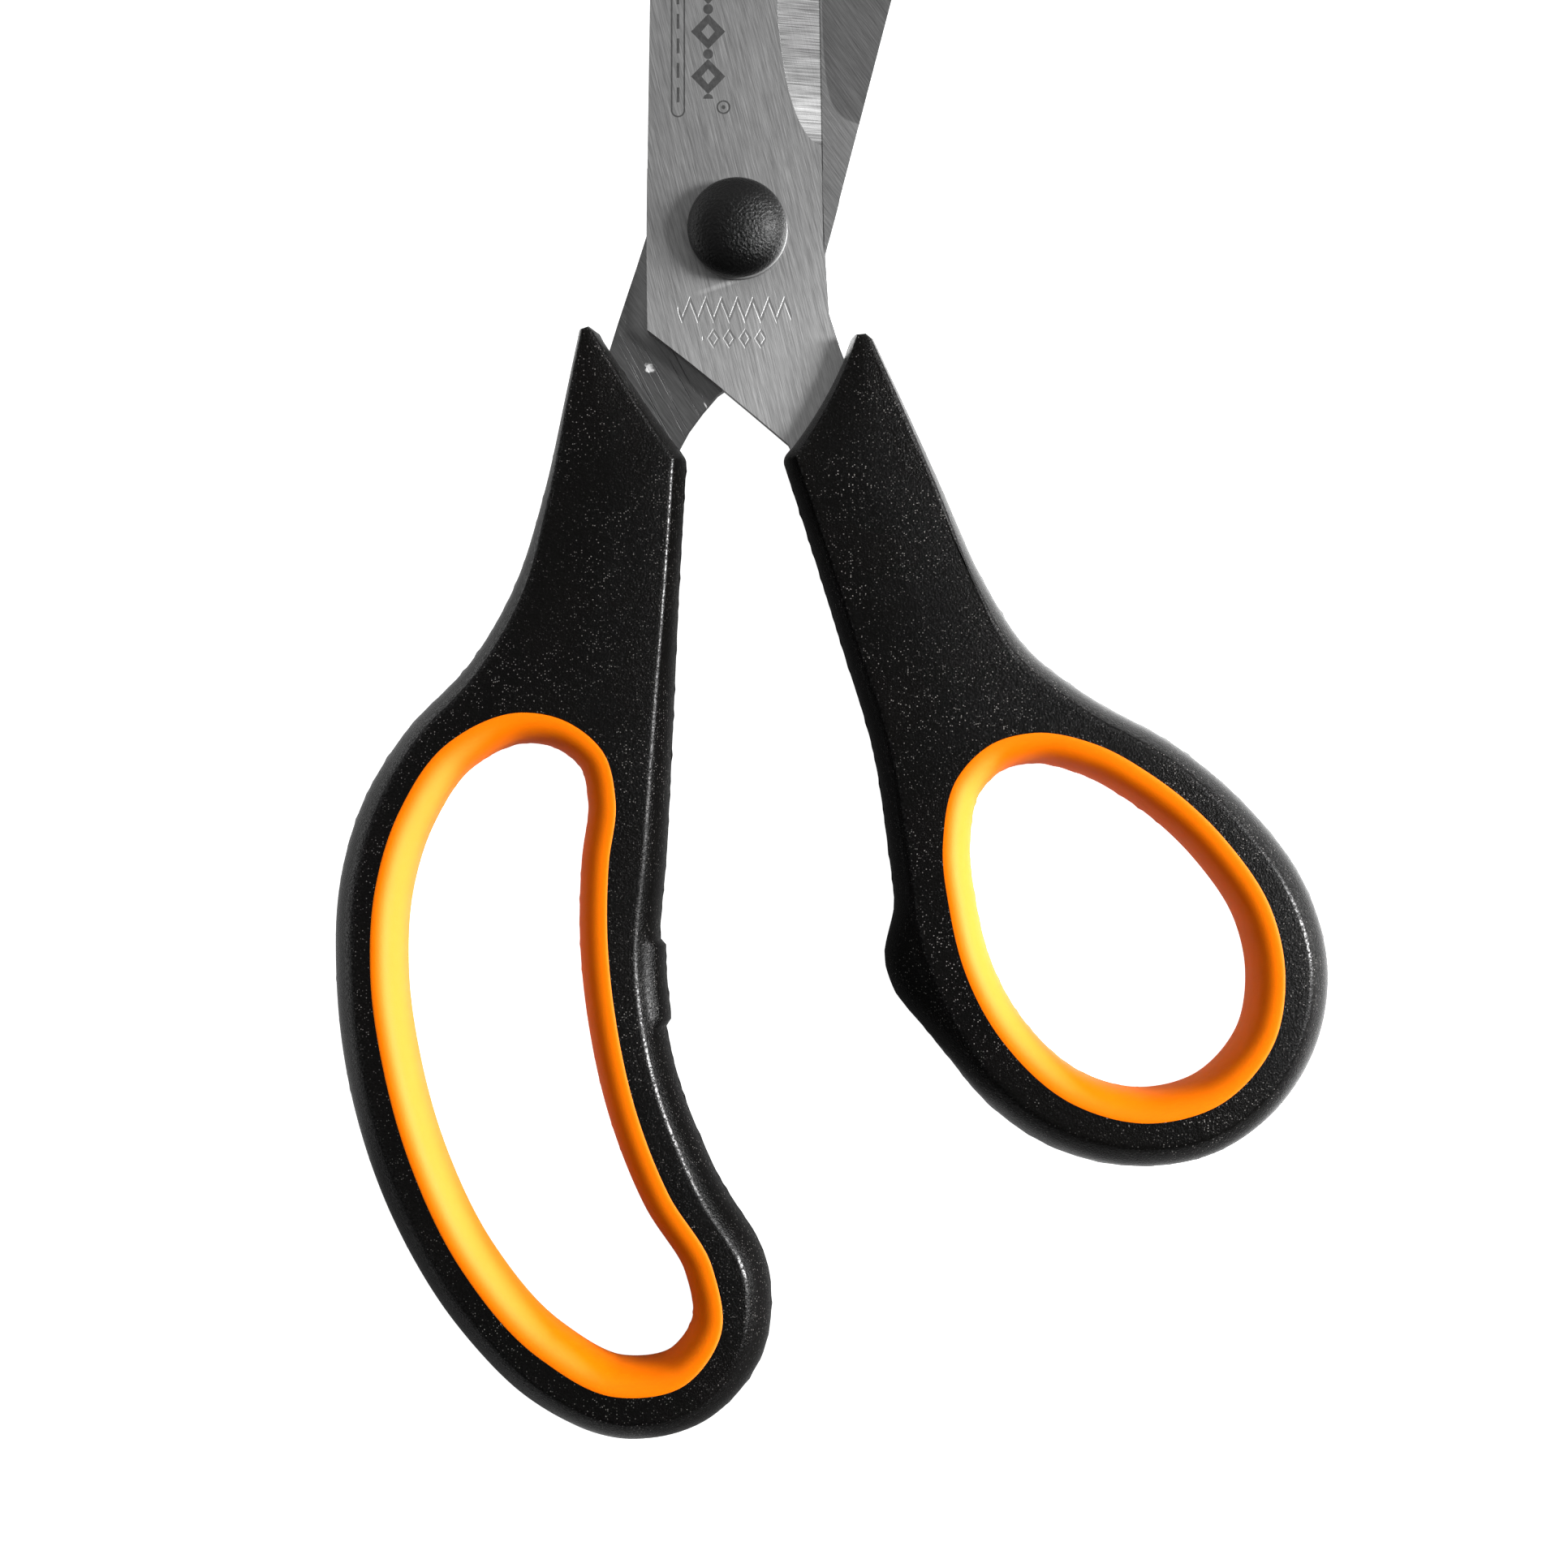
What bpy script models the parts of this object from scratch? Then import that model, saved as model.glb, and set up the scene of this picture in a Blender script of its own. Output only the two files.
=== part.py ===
"""Fabric shears: two steel blades on a pivot, each with a moulded handle and a soft liner in its bow.

Each half is drawn closed, with its blade along +Y, its handle below the pivot and the pivot on the
Z axis. The finger half is then turned clockwise by REST_OPENING, which leaves the shears part open.
Drawing units are millimetres. Z starts at the back of the rivet head.
"""

import math

import bmesh
import bpy
import numpy as np

MM = 0.001

# Blades
BLADE_REACH = 110.0
BLADE_HALF_WIDTH = 8.8
BLADE_THICKNESS = 2.0
BLADE_GAP = 0.3
FRONT_TAPER = 0.18
REAR_TAPER = 0.42
BEVEL_WIDTH = 4.2
BEVEL_START = 8.3
BEVEL_RUN_OUT = 15.0
EDGE_LAND = 0.45

# Handles
HANDLE_REACH = 117.0
HANDLE_THICKNESS = 11.0
TANG_HOLE_RADIUS = 2.2
TANG_FIT = 0.3
REST_OPENING = 16.5

# Liners
LINER_WIDTH = 2.9
LINER_SETBACK = 0.6
LINER_FIT = 0.3
RIB_DEPTH = 0.9
RIB_HEIGHT = 3.4

# Pivot
HEAD_RADIUS = 4.7
HEAD_THICKNESS = 1.3
HEAD_CHAMFER = 0.5
SHANK_RADIUS = 2.6
SHANK_FIT = 0.08
BORE_RADIUS = 1.5
PIN_FIT = 0.3
PIN_HEAD_RADIUS = 3.2
PIN_HEAD_THICKNESS = 1.1
PIN_CHAMFER = 0.2
WASHER_RADIUS = 4.95
WASHER_THICKNESS = 0.6
CAP_RADIUS = 4.85
CAP_HEIGHT = 3.4
CAP_SKIRT = 0.5
CAP_CHAMFER = 0.2
STACK_GAP = 0.15

# Heights that follow from the stack on the pivot
REAR_BACK = HEAD_THICKNESS + STACK_GAP
REAR_FRONT = REAR_BACK + BLADE_THICKNESS
FRONT_BACK = REAR_FRONT + BLADE_GAP
FRONT_FRONT = FRONT_BACK + BLADE_THICKNESS
MIDDLE = (REAR_BACK + FRONT_FRONT) / 2
WASHER_BACK = FRONT_FRONT + STACK_GAP
WASHER_FRONT = WASHER_BACK + WASHER_THICKNESS
CAP_BACK = WASHER_FRONT + STACK_GAP

# Bow centres, which move down together when the handles are made longer
FINGER_BOW = (4.0, 34.0 - HANDLE_REACH)
THUMB_BOW = (37.0, 48.0 - HANDLE_REACH)
FINGER_TURN = -math.radians(REST_OPENING)

for old in list(bpy.data.objects):
    bpy.data.objects.remove(old, do_unlink=True)

PARTS = bpy.data.collections.new("fabric_shears")
CUTTERS = bpy.data.collections.new("cutters")
bpy.context.scene.collection.children.link(PARTS)
bpy.context.scene.collection.children.link(CUTTERS)


def material(name, colour, metallic, roughness):
    made = bpy.data.materials.new(name)
    made.use_nodes = True
    shader = made.node_tree.nodes["Principled BSDF"]
    shader.inputs["Base Color"].default_value = (*colour, 1.0)
    shader.inputs["Metallic"].default_value = metallic
    shader.inputs["Roughness"].default_value = roughness
    made.diffuse_color = (*colour, 1.0)
    return made


def add(name, mesh, where, finish=None, turn=0.0):
    obj = bpy.data.objects.new(name, mesh)
    obj.rotation_euler = (0.0, 0.0, turn)
    where.objects.link(obj)
    if finish:
        mesh.materials.append(finish)
    if where is CUTTERS:
        obj.hide_render = True
        obj.display_type = "WIRE"
    return obj


def finished(name, shape):
    """A mesh from a bmesh in millimetres, with its faces turned outwards."""
    bmesh.ops.recalc_face_normals(shape, faces=shape.faces)
    bmesh.ops.scale(shape, vec=(MM, MM, MM), verts=shape.verts)
    mesh = bpy.data.meshes.new(name)
    shape.to_mesh(mesh)
    shape.free()
    return mesh


def plate(name, outline, low, high):
    """A flat piece: a filled 2D curve, extruded and then made a mesh."""
    curve = bpy.data.curves.new(name, "CURVE")
    curve.dimensions = "2D"
    curve.fill_mode = "BOTH"
    curve.extrude = (high - low) / 2
    spline = curve.splines.new("POLY")
    spline.points.add(len(outline) - 1)
    for point, (x, y) in zip(spline.points, outline):
        point.co = (x, y, 0.0, 1.0)
    spline.use_cyclic_u = True
    drawn = bpy.data.objects.new(name, curve)
    CUTTERS.objects.link(drawn)
    seen = drawn.evaluated_get(bpy.context.evaluated_depsgraph_get())
    made = bpy.data.meshes.new_from_object(seen)
    shape = bmesh.new()
    shape.from_mesh(made)
    bmesh.ops.remove_doubles(shape, verts=shape.verts, dist=0.001)
    bmesh.ops.translate(shape, vec=(0.0, 0.0, (low + high) / 2), verts=shape.verts)
    bpy.data.objects.remove(drawn, do_unlink=True)
    bpy.data.meshes.remove(made)
    return finished(name, shape)


def cylinder(name, centre, radius, low, high, segments=48):
    shape = bmesh.new()
    bmesh.ops.create_cone(
        shape, cap_ends=True, segments=segments, radius1=radius, radius2=radius, depth=high - low
    )
    bmesh.ops.translate(shape, vec=(*centre, (low + high) / 2), verts=shape.verts)
    return finished(name, shape)


def turned(name, profile, where, finish):
    """A piece turned about Z from (radius, height) points, listed down its outer side and back up."""
    mesh = bpy.data.meshes.new(name)
    points = [(radius * MM, 0.0, height * MM) for radius, height in profile]
    edges = [(i, i + 1) for i in range(len(points) - 1)]
    if profile[0][0] > 0.0:
        edges.append((len(points) - 1, 0))
    mesh.from_pydata(points, edges, [])
    obj = add(name, mesh, where, finish)
    screw = obj.modifiers.new("turn", "SCREW")
    screw.steps = 48
    screw.render_steps = 48
    screw.use_merge_vertices = True
    screw.merge_threshold = 0.000001
    return obj


def curve_through(points, closed=False, spacing=2.6):
    """Points on a smooth curve through the given ones. An open curve leaves out its last point."""
    knots = np.array(points, float)
    count = len(knots)
    if closed:
        knots = np.concatenate([knots[-2:], knots, knots[:3]])
    chords = np.linalg.norm(np.diff(knots[:, :2], axis=0), axis=1)
    at = np.concatenate([[0.0], np.cumsum(chords)])
    slopes = np.gradient(knots, at, axis=0)
    first = 2 if closed else 0
    last = first + count if closed else count - 1
    made = []
    for i in range(first, last):
        steps = max(1, round(chords[i] / spacing)) if len(knots) > 2 else 1
        for step in range(steps):
            t = step / steps
            a = 2 * t**3 - 3 * t**2 + 1
            b = t**3 - 2 * t**2 + t
            c = 3 * t**2 - 2 * t**3
            d = t**3 - t**2
            made.append(
                a * knots[i]
                + b * chords[i] * slopes[i]
                + c * knots[i + 1]
                + d * chords[i] * slopes[i + 1]
            )
    return np.array(made)


def moved(points, by):
    """Points given from a bow centre, as points from the pivot. Any third value is kept."""
    return [(x + by[0], y + by[1], *rest) for x, y, *rest in points]


def inward(loop):
    """For each point of a loop, the step that moves both its edges inwards by one."""
    ahead = np.roll(loop, -1, axis=0)[:, :2] - loop[:, :2]
    ahead = ahead / np.linalg.norm(ahead, axis=1)[:, None]
    normal = np.stack([-ahead[:, 1], ahead[:, 0]], axis=1)
    x, y = loop[:, 0], loop[:, 1]
    if (x * np.roll(y, -1) - y * np.roll(x, -1)).sum() < 0:
        normal = -normal
    before = np.roll(normal, 1, axis=0)
    share = 1 + (normal * before).sum(axis=1)
    return (normal + before) / share[:, None]


def loft(name, loop, rows, ring=False):
    """One loop above another, each moved inwards by its row's (how far, height). The first and the
    last are capped or, for a ring, joined. A third value along the loop scales each point's move."""
    step = inward(loop)
    reach = loop[:, 2:3] if loop.shape[1] > 2 else 1.0
    shape = bmesh.new()
    levels = []
    for shift, height in rows:
        flat = loop[:, :2] + step * reach * shift
        levels.append([shape.verts.new((x, y, height)) for x, y in flat])
    if ring:
        levels.append(levels[0])
    else:
        shape.faces.new(levels[0])
        shape.faces.new(levels[-1])
    for lower, upper in zip(levels, levels[1:]):
        for i in range(-1, len(loop) - 1):
            shape.faces.new([lower[i], lower[i + 1], upper[i + 1], upper[i]])
    return finished(name, shape)


def boolean(obj, other, operation):
    made = obj.modifiers.new(f"{operation.lower()} {other.name}", "BOOLEAN")
    made.operation = operation
    made.solver = "EXACT"
    made.object = other


STEEL = material("brushed_steel", (0.42, 0.42, 0.43), 1.0, 0.35)
REAR_STEEL = material("brushed_steel_rear", (0.40, 0.40, 0.41), 1.0, 0.38)
BLACK_THUMB = material("black_plastic_thumb", (0.012, 0.012, 0.013), 0.0, 0.45)
BLACK_FINGER = material("black_plastic_finger", (0.012, 0.012, 0.013), 0.0, 0.45)
SOFT_THUMB = material("orange_soft_thumb", (0.90, 0.25, 0.01), 0.0, 0.5)
SOFT_FINGER = material("orange_soft_finger", (0.90, 0.25, 0.01), 0.0, 0.5)
CAP_BLACK = material("black_plastic_cap", (0.012, 0.012, 0.013), 0.0, 0.5)
RIVET_STEEL = material("rivet_steel", (0.50, 0.50, 0.51), 1.0, 0.3)
PIN_STEEL = material("pin_steel", (0.50, 0.50, 0.51), 1.0, 0.3)
WASHER_STEEL = material("washer_steel", (0.55, 0.55, 0.56), 1.0, 0.25)


def blade_edge(share):
    """Half the blade's width on its cutting side, as a share of BLADE_HALF_WIDTH."""
    return 0.965 - 0.20 * share - 0.18 * share**3 - 0.58 * share**9


def blade_spine(share, taper):
    """Half the blade's width on its back, as a share of BLADE_HALF_WIDTH."""
    return 1.01 - taper * share - (0.44 - taper) * share**3 - 0.55 * share**9


def blade_outline(side, taper, shoulder, tang):
    """The blade's loop: up its cutting side, down its back, across the shoulder and round the tang."""
    shares = (0.0, 0.12, 0.25, 0.4, 0.55, 0.7, 0.8, 0.88, 0.94, 0.98)
    wide = side * BLADE_HALF_WIDTH
    up = [(wide * blade_edge(s), s * BLADE_REACH) for s in shares]
    down = [(-wide * blade_spine(s, taper), s * BLADE_REACH) for s in reversed(shares)]
    point = (0.0, BLADE_REACH)
    corner = (-wide, -9.8)
    edge = curve_through([tang[-1], *up, point], spacing=4.0)
    back = curve_through([point, *down, corner], spacing=4.0)
    return np.concatenate(
        [
            edge,
            back,
            curve_through([corner, *shoulder, tang[0]], spacing=3.0),
            curve_through(tang, spacing=3.0),
        ]
    )


def bevel_cutter(name, side, inner, outer, turn):
    """The wedge ground off beside the cutting edge. Its width grows from nothing along a quarter oval."""
    stations = [0.0, 0.05, 0.2, 0.45, 0.7, 1.0]
    heights = [BEVEL_START + BEVEL_RUN_OUT * s for s in stations]
    heights += [BLADE_REACH * s for s in (0.4, 0.6, 0.75, 0.85, 0.92, 0.97, 1.02)]
    land = inner + (EDGE_LAND if outer > inner else -EDGE_LAND)
    above = outer + (1.0 if outer > inner else -1.0)
    shape = bmesh.new()
    sections = []
    for height in heights:
        grown = min(1.0, (height - BEVEL_START) / BEVEL_RUN_OUT)
        width = BEVEL_WIDTH * math.sqrt(1 - (1 - grown) ** 2) + 0.02
        edge = BLADE_HALF_WIDTH * blade_edge(height / BLADE_REACH)
        slope = (outer - land) / BEVEL_WIDTH
        depth = outer - slope * width
        over = 1.5
        corners = [
            (edge - width - over, outer + slope * over),
            (edge + over, depth - slope * over),
            (edge + over, above),
            (edge - width - over, above),
        ]
        sections.append([shape.verts.new((side * across, height, up)) for across, up in corners])
    shape.faces.new(sections[0])
    shape.faces.new(sections[-1])
    for lower, upper in zip(sections, sections[1:]):
        for i in range(-1, 3):
            shape.faces.new([lower[i], lower[i + 1], upper[i + 1], upper[i]])
    bmesh.ops.triangulate(shape, faces=shape.faces)
    return add(name, finished(name, shape), CUTTERS, None, turn)


# Tangs: from the blade's shoulder down the handle and back up to its cutting side
THUMB_SHOULDER = [(-4.4, -13.2), (1.1, -17.7)]
THUMB_TANG = [(5.0, -21.0), (8.0, -27.0), (12.4, -38.4), (14.0, -42.0), (16.8, -43.3)]
THUMB_TANG += [(19.0, -41.6), (19.0, -38.4), (15.8, -29.0), (12.7, -18.5), (10.2, -12.0)]
THUMB_TANG += [(9.0, -8.2)]
THUMB_HOLES = [(11.9, -26.6), (15.4, -37.4)]
FINGER_SHOULDER = [(5.4, -12.4), (2.6, -15.8)]
FINGER_TANG = [(0.9, -20.0), (-0.2, -26.0), (1.0, -38.0), (0.4, -41.8), (-2.6, -43.4)]
FINGER_TANG += [(-5.8, -41.8), (-6.9, -38.0), (-8.0, -28.0), (-8.8, -18.0), (-8.8, -12.0)]
FINGER_TANG += [(-8.6, -6.0)]
FINGER_HOLES = [(-4.4, -26.4), (-2.8, -37.0)]


def blade(name, side, taper, shoulder, tang, holes, inner, outer, finish, turn):
    low, high = min(inner, outer), max(inner, outer)
    loop = blade_outline(side, taper, shoulder, tang)
    obj = add(name, plate(name, loop, low, high), PARTS, finish, turn)
    boolean(obj, bevel_cutter(f"{name}_grind", side, inner, outer, turn), "DIFFERENCE")
    bores = [((0.0, 0.0), SHANK_RADIUS + SHANK_FIT)] + [(at, TANG_HOLE_RADIUS) for at in holes]
    for number, (at, radius) in enumerate(bores):
        cutter = f"{name}_bore_{number}"
        tool = add(cutter, cylinder(cutter, at, radius, low - 1, high + 1), CUTTERS, None, turn)
        boolean(obj, tool, "DIFFERENCE")
    return obj


# Moulding section: (share of the face's inset, share of half the thickness)
SIDE = [(1.0, 1.0), (0.84, 0.955), (0.52, 0.80), (0.24, 0.56), (0.06, 0.28), (0.0, 0.0)]
HANDLE_ROWS = [(share, MIDDLE + HANDLE_THICKNESS / 2 * height) for share, height in SIDE]
HANDLE_ROWS += [(share, MIDDLE - HANDLE_THICKNESS / 2 * height) for share, height in SIDE[-2::-1]]

# Handle outlines: (across, along, inset of the flat face). Shank points are from the pivot,
# bow points from the bow centre.
THUMB_TIP = [(11.5, -10.1, 0.5), (13.4, -10.7, 0.5)]
THUMB_OUTER = [(15.9, -16.0, 0.6), (20.0, -25.0, 0.8), (24.4, -34.6, 1.3)]
THUMB_BOW_OUTLINE = [(-8.4, 28.0, 1.7), (-2.8, 23.6, 1.8), (6.3, 18.4, 1.9), (13.7, 12.0, 2.2)]
THUMB_BOW_OUTLINE += [(18.7, 5.2, 2.4), (21.1, -3.2, 2.4), (20.0, -10.8, 2.4), (16.3, -17.0, 2.4)]
THUMB_BOW_OUTLINE += [(10.0, -21.6, 2.4), (2.3, -22.9, 2.4), (-6.4, -20.8, 2.4), (-13.4, -15.6, 2.3)]
THUMB_BOW_OUTLINE += [(-18.0, -8.6, 2.2), (-20.8, -1.2, 2.0), (-21.8, 6.0, 1.9), (-23.7, 18.4, 1.7)]
THUMB_INNER = [(10.4, -41.0, 1.5), (6.4, -28.2, 1.3), (4.5, -22.4, 1.2)]
THUMB_SEAT = [(-8.1, 19.7), (-2.3, 18.5), (3.2, 15.5), (10.5, 9.0), (14.7, 2.6), (16.1, -3.7)]
THUMB_SEAT += [(15.0, -10.4), (9.8, -16.3), (2.9, -18.1), (-4.3, -16.3), (-11.2, -10.2)]
THUMB_SEAT += [(-14.8, -3.6), (-16.4, 2.8), (-17.0, 9.0), (-15.6, 15.4), (-12.4, 18.6)]

FINGER_TIP = [(-10.4, -13.4, 0.5), (-12.1, -13.6, 0.5)]
FINGER_OUTER = [(-11.6, -20.0, 0.6), (-10.9, -31.0, 1.0), (-11.2, -40.0, 1.6)]
FINGER_BOW_OUTLINE = [(-17.4, 34.4, 1.7), (-21.2, 27.0, 1.9), (-23.4, 19.0, 2.2), (-23.4, 11.0, 2.3)]
FINGER_BOW_OUTLINE += [(-21.0, 1.4, 2.4), (-16.2, -9.4, 2.4), (-7.8, -20.9, 2.4), (0.8, -28.4, 2.4)]
FINGER_BOW_OUTLINE += [(10.2, -33.2, 2.4), (18.8, -34.0, 2.4), (26.2, -30.0, 2.4), (29.7, -22.0, 2.4)]
FINGER_BOW_OUTLINE += [(27.8, -13.8, 2.3), (20.2, -6.2, 2.3), (13.6, 2.2, 2.2), (9.2, 11.4, 2.2)]
FINGER_BOW_OUTLINE += [(6.5, 23.0, 2.0)]
FINGER_INNER = [(7.4, -47.3, 1.7), (4.3, -34.8, 1.2), (1.5, -22.9, 1.1)]
FINGER_SEAT = [(-10.6, 31.7), (-16.6, 26.6), (-19.1, 19.0), (-19.2, 11.4), (-17.3, 3.3)]
FINGER_SEAT += [(-13.4, -5.4), (-8.1, -13.7), (-0.6, -21.8), (9.0, -27.8), (17.0, -29.3)]
FINGER_SEAT += [(23.0, -26.4), (25.0, -20.6), (22.4, -14.7), (16.4, -9.2), (11.2, -2.6)]
FINGER_SEAT += [(6.8, 5.2), (3.6, 13.0), (1.7, 20.0), (0.6, 26.0), (-1.8, 30.2), (-6.6, 32.2)]

# Stops that meet when the shears are closed, from the bow centres
THUMB_LUG = [(-16.0, 4.0), (-21.4, 2.6), (-22.4, 0.4), (-22.5, -2.0), (-21.8, -5.4)]
THUMB_LUG += [(-19.6, -7.8), (-15.4, -11.2), (-12.0, -6.0)]
LUG_HEIGHT = 5.6
FINGER_PAD = [(5.5, 14.0), (8.9, 14.0), (9.6, 11.2), (10.7, 8.2), (11.7, 5.8), (8.6, 5.2)]
PAD_HEIGHT = 7.0


def tang_pocket(name, tang, holes, low, high, turn):
    """The room round a tang, less the posts that pass through the tang's holes."""
    mouth = np.array([tang[0], tang[-3]])
    out = mouth.mean(axis=0) - np.array(holes).mean(axis=0)
    lip = [tuple(p + 0.7 * out) for p in mouth]
    loop = curve_through([*tang[:-2]], spacing=3.0)
    loop = np.concatenate([loop, [tang[-3], lip[1], lip[0]]])
    loop = loop - inward(loop) * TANG_FIT
    pocket = add(name, plate(name, loop, low - TANG_FIT, high + TANG_FIT), CUTTERS, None, turn)
    for number, at in enumerate(holes):
        post = f"{name}_post_{number}"
        radius = TANG_HOLE_RADIUS - TANG_FIT
        made = add(post, cylinder(post, at, radius, low - 2, high + 2, 24), CUTTERS, None, turn)
        boolean(pocket, made, "DIFFERENCE")
    return pocket


def handle(name, outline, seat, pocket, stop, stop_height, finish, turn):
    obj = add(name, loft(name, outline, HANDLE_ROWS), PARTS, finish, turn)
    half = stop_height / 2
    bump = f"{name}_stop"
    bump_rows = [(0.5, MIDDLE - half), (0.0, MIDDLE - half + 0.6)]
    bump_rows += [(0.0, MIDDLE + half - 0.6), (0.5, MIDDLE + half)]
    boolean(obj, add(bump, loft(bump, stop, bump_rows), CUTTERS, None, turn), "UNION")
    rib = RIB_HEIGHT / 2 + LINER_FIT
    grow = -LINER_FIT
    deep = -LINER_FIT - RIB_DEPTH
    over = HANDLE_THICKNESS / 2 + 1
    hole = f"{name}_bow_hole"
    hole_rows = [(grow, MIDDLE - over), (grow, MIDDLE - rib), (deep, MIDDLE - rib)]
    hole_rows += [(deep, MIDDLE + rib), (grow, MIDDLE + rib), (grow, MIDDLE + over)]
    boolean(obj, add(hole, loft(hole, seat, hole_rows), CUTTERS, None, turn), "DIFFERENCE")
    boolean(obj, pocket, "DIFFERENCE")
    return obj


def liner(name, seat, finish, turn):
    """A soft ring, D shaped in section, with a rib round its outside that keys into the handle."""
    half = HANDLE_THICKNESS / 2 - LINER_SETBACK
    rib = RIB_HEIGHT / 2
    angles = [math.radians(a) for a in (84, 62, 40, 20, 0, -20, -40, -62, -84)]
    rows = [(LINER_WIDTH * math.cos(a), MIDDLE + half * math.sin(a)) for a in angles]
    rows += [(0.0, MIDDLE - half), (0.0, MIDDLE - rib), (-RIB_DEPTH, MIDDLE - rib)]
    rows += [(-RIB_DEPTH, MIDDLE + rib), (0.0, MIDDLE + rib), (0.0, MIDDLE + half)]
    return add(name, loft(name, seat, rows, ring=True), PARTS, finish, turn)


thumb_outline = np.concatenate(
    [
        curve_through(THUMB_TIP),
        curve_through(
            [THUMB_TIP[1], *THUMB_OUTER, *moved(THUMB_BOW_OUTLINE, THUMB_BOW), *THUMB_INNER]
        ),
        [THUMB_INNER[-1]],
    ]
)
finger_outline = np.concatenate(
    [
        curve_through(FINGER_TIP),
        curve_through(
            [FINGER_TIP[1], *FINGER_OUTER, *moved(FINGER_BOW_OUTLINE, FINGER_BOW), *FINGER_INNER]
        ),
        [FINGER_INNER[-1]],
    ]
)
thumb_seat = curve_through(moved(THUMB_SEAT, THUMB_BOW), closed=True)
finger_seat = curve_through(moved(FINGER_SEAT, FINGER_BOW), closed=True)
thumb_lug = np.array(moved(THUMB_LUG, THUMB_BOW))
finger_pad = np.array(moved(FINGER_PAD, FINGER_BOW))

front_blade = blade(
    "front_blade", 1, FRONT_TAPER, THUMB_SHOULDER, THUMB_TANG, THUMB_HOLES,
    FRONT_BACK, FRONT_FRONT, STEEL, 0.0,
)
rear_blade = blade(
    "rear_blade", -1, REAR_TAPER, FINGER_SHOULDER, FINGER_TANG, FINGER_HOLES,
    REAR_FRONT, REAR_BACK, REAR_STEEL, FINGER_TURN,
)
thumb_pocket = tang_pocket(
    "thumb_tang_pocket", THUMB_TANG, THUMB_HOLES, FRONT_BACK, FRONT_FRONT, 0.0
)
finger_pocket = tang_pocket(
    "finger_tang_pocket", FINGER_TANG, FINGER_HOLES, REAR_BACK, REAR_FRONT, FINGER_TURN
)
thumb_handle = handle(
    "thumb_handle", thumb_outline, thumb_seat, thumb_pocket, thumb_lug, LUG_HEIGHT, BLACK_THUMB, 0.0
)
finger_handle = handle(
    "finger_handle", finger_outline, finger_seat, finger_pocket, finger_pad, PAD_HEIGHT,
    BLACK_FINGER, FINGER_TURN,
)
thumb_liner = liner("thumb_liner", thumb_seat, SOFT_THUMB, 0.0)
finger_liner = liner("finger_liner", finger_seat, SOFT_FINGER, FINGER_TURN)

# Pivot: a tubular rivet from the back, a pin pressed into it from the front, and a snap-on cap
rivet_profile = [
    (0.0, HEAD_THICKNESS),
    (BORE_RADIUS, HEAD_THICKNESS),
    (BORE_RADIUS, WASHER_FRONT),
    (SHANK_RADIUS, WASHER_FRONT),
    (SHANK_RADIUS, HEAD_THICKNESS),
    (HEAD_RADIUS, HEAD_THICKNESS),
    (HEAD_RADIUS, HEAD_CHAMFER),
    (HEAD_RADIUS - HEAD_CHAMFER, 0.0),
    (0.0, 0.0),
]
pin_radius = BORE_RADIUS - PIN_FIT
pin_top = CAP_BACK + PIN_HEAD_THICKNESS
pin_profile = [
    (0.0, pin_top),
    (PIN_HEAD_RADIUS - PIN_CHAMFER, pin_top),
    (PIN_HEAD_RADIUS, pin_top - PIN_CHAMFER),
    (PIN_HEAD_RADIUS, CAP_BACK),
    (pin_radius, CAP_BACK),
    (pin_radius, HEAD_THICKNESS + PIN_FIT),
    (0.0, HEAD_THICKNESS + PIN_FIT),
]
dome_angles = [math.radians(a) for a in (82, 70, 56, 42, 28, 14, 0)]
dome_rise = CAP_HEIGHT - CAP_SKIRT
cavity_radius = PIN_HEAD_RADIUS + PIN_FIT
cavity_top = pin_top + PIN_FIT
cap_profile = [(0.0, CAP_BACK + CAP_HEIGHT)]
cap_profile += [
    (CAP_RADIUS * math.cos(a), CAP_BACK + CAP_SKIRT + dome_rise * math.sin(a)) for a in dome_angles
]
cap_profile += [(CAP_RADIUS - CAP_CHAMFER, CAP_BACK), (cavity_radius, CAP_BACK)]
cap_profile += [(cavity_radius, cavity_top), (0.0, cavity_top)]
washer_hole = SHANK_RADIUS + SHANK_FIT
washer_profile = [
    (washer_hole, WASHER_FRONT),
    (WASHER_RADIUS, WASHER_FRONT),
    (WASHER_RADIUS, WASHER_BACK),
    (washer_hole, WASHER_BACK),
]

turned("pivot_rivet", rivet_profile, PARTS, RIVET_STEEL)
turned("pivot_pin", pin_profile, PARTS, PIN_STEEL)
turned("pivot_washer", washer_profile, PARTS, WASHER_STEEL)
turned("pivot_cap", cap_profile, PARTS, CAP_BLACK)
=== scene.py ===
"""Looks for a pair of fabric shears: ground steel blades, sparkle-grained black handles, soft orange
bow liners and a domed pivot cap, laid on a pale floor under soft light from the right.

Lengths are millimetres until a finished surface is written into its mesh. Both halves are drawn
closed, with the blade along +Y and the pivot at the origin; the finger half is then turned clockwise.
"""

import math

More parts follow.
